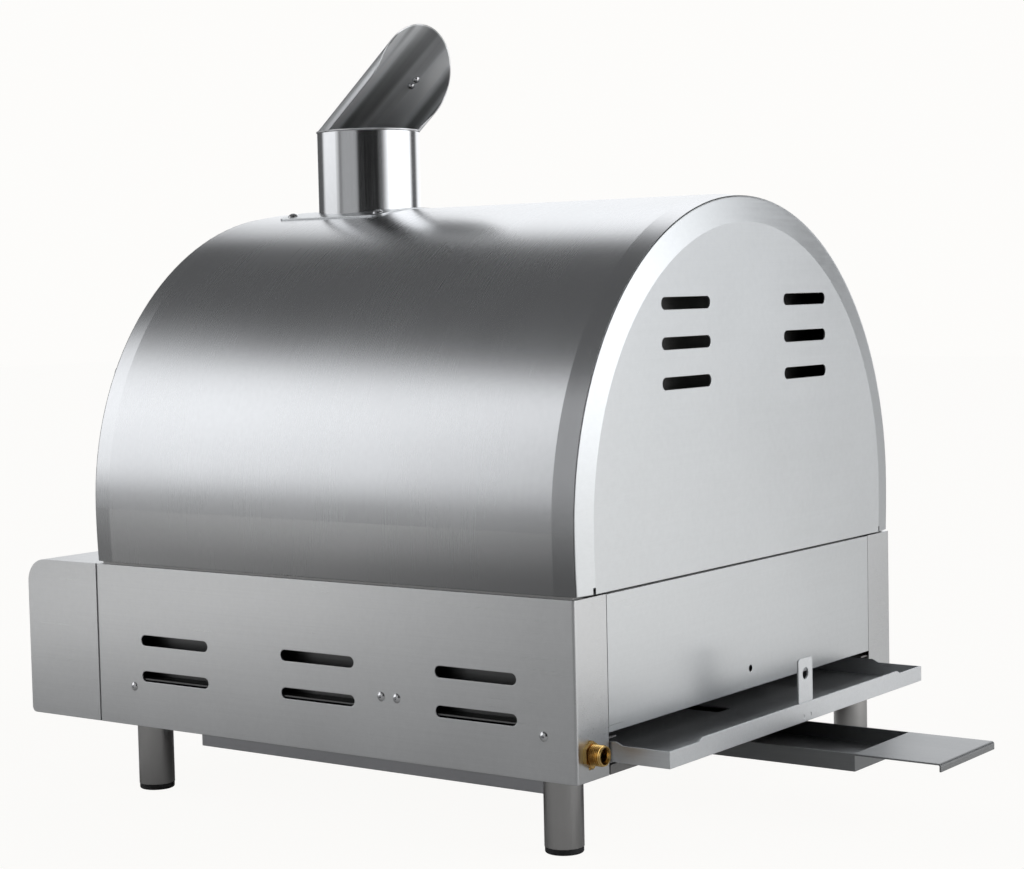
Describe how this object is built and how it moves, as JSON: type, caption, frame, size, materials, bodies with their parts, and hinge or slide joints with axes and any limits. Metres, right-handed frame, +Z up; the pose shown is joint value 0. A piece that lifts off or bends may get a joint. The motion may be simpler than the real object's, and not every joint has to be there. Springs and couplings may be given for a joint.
{
  "type": "countertop pizza oven",
  "caption": "Arched stainless gas pizza oven with chimney and turning cowl, slotted base, drop-down door, control box and two slide-out trays behind.",
  "frame": {"origin": "middle of the overall footprint with both trays drawn out as stored, on the plane of the feet", "axes": "+Z up, -Y towards the door and controls, +X towards the gas inlet side, to the right of someone facing the door"},
  "size_m": [0.4226, 0.6706, 0.5444],
  "materials": {
    "dome_steel": "satin, brushed round the arch",
    "cap_steel": "fine satin",
    "panel_steel": "satin",
    "polished_steel": "polished",
    "leg_steel": "satin tube",
    "inner_steel": "satin",
    "tray_steel": "satin",
    "pipe_aluminium": "satin",
    "brass": "machined",
    "pad_rubber": "matte",
    "black_plastic": "matte",
    "stone": "matte cordierite",
    "ceramic": "glazed ceramic",
    "door_glass": "clear",
    "dial_white": "matte",
    "needle_red": "matte"
  },
  "bodies": {
    "oven": {"base_floor": "inner_steel", "base_front_bulkhead": "inner_steel", "base_rear_panel": "cap_steel", "base_side_left": "panel_steel", "base_side_right": "panel_steel", "burner_rear_support": "inner_steel", "burner_tubes": "inner_steel", "chimney_base_plate": "polished_steel", "chimney_pipe": "polished_steel", "control_box": "panel_steel", "cooking_deck": "inner_steel", "dome_shell": "dome_steel", "door_hinge_brackets": "polished_steel", "flame_tamers": "inner_steel", "foot_pads": "pad_rubber", "front_frame": "cap_steel", "gas_inlet_fitting": "brass", "gas_inlet_locknut": "brass", "gas_inlet_pipe": "pipe_aluminium", "gas_manifold": "pipe_aluminium", "gas_valves": "brass", "grease_tray_guides": "inner_steel", "heat_shields": "inner_steel", "igniter_body": "black_plastic", "ignition_electrodes": "ceramic", "inner_liner": "inner_steel", "knob_bezels": "polished_steel", "leg_screws": "inner_steel", "leg_tubes": "leg_steel", "liner_rear_wall": "inner_steel", "pan_head_screws": "polished_steel", "pizza_stone": "stone", "rear_cap": "cap_steel", "side_rivets": "polished_steel", "stone_supports": "inner_steel", "thermometer_case": "polished_steel", "thermometer_dial": "dial_white", "thermometer_lens": "door_glass", "thermometer_stem": "inner_steel", "tray_rails": "inner_steel", "under_housing": "panel_steel"},
    "drip_tray_body": {"drip_tray": "tray_steel", "drip_tray_tab": "tray_steel"},
    "grease_tray_body": {"grease_tray": "tray_steel"},
    "door": {"door_glass": "door_glass", "door_glass_retainer": "inner_steel", "door_handle_bar": "polished_steel", "door_handle_posts": "polished_steel", "door_hinge_pins": "polished_steel", "door_inner_panel": "inner_steel", "door_outer_panel": "panel_steel", "door_screws": "polished_steel"},
    "cowl": {"chimney_cowl": "polished_steel", "cowl_rivets": "polished_steel"},
    "left_knob": {"knob_left": "black_plastic", "valve_stem_left": "inner_steel"},
    "right_knob": {"knob_right": "black_plastic", "valve_stem_right": "inner_steel"},
    "ignition_button": {"igniter_button": "black_plastic"},
    "needle": {"thermometer_needle": "needle_red"}
  },
  "joints": [
    {"name": "drip_tray_slide", "type": "slide", "parent": "oven", "child": "drip_tray_body", "axis": [0, 1, 0], "range_m": [-0.0405, 0.2]},
    {"name": "grease_tray_slide", "type": "slide", "parent": "oven", "child": "grease_tray_body", "axis": [0, 1, 0], "range_m": [-0.137, 0.08]},
    {"name": "door_hinge", "type": "hinge", "parent": "oven", "child": "door", "pos_m": [0, -0.24713, 0.178], "axis": [1, 0, 0], "range_deg": [0, 90]},
    {"name": "cowl_turn", "type": "hinge", "parent": "oven", "child": "cowl", "pos_m": [0, -0.14713, 0.467], "axis": [0, 0, 1], "continuous": true},
    {"name": "left_knob_turn", "type": "hinge", "parent": "oven", "child": "left_knob", "pos_m": [-0.11, -0.30462, 0.104], "axis": [0, -1, 0], "range_deg": [0, 210]},
    {"name": "right_knob_turn", "type": "hinge", "parent": "oven", "child": "right_knob", "pos_m": [0.11, -0.30462, 0.104], "axis": [0, -1, 0], "range_deg": [0, 210]},
    {"name": "ignition_push", "type": "slide", "parent": "oven", "child": "ignition_button", "axis": [0, 1, 0], "range_m": [0, 0.006], "stiffness_N_per_m": 600, "springref_m": -0.002},
    {"name": "needle_turn", "type": "hinge", "parent": "oven", "child": "needle", "pos_m": [0, -0.24263, 0.34], "axis": [0, 1, 0], "range_deg": [0, 270]}
  ]
}
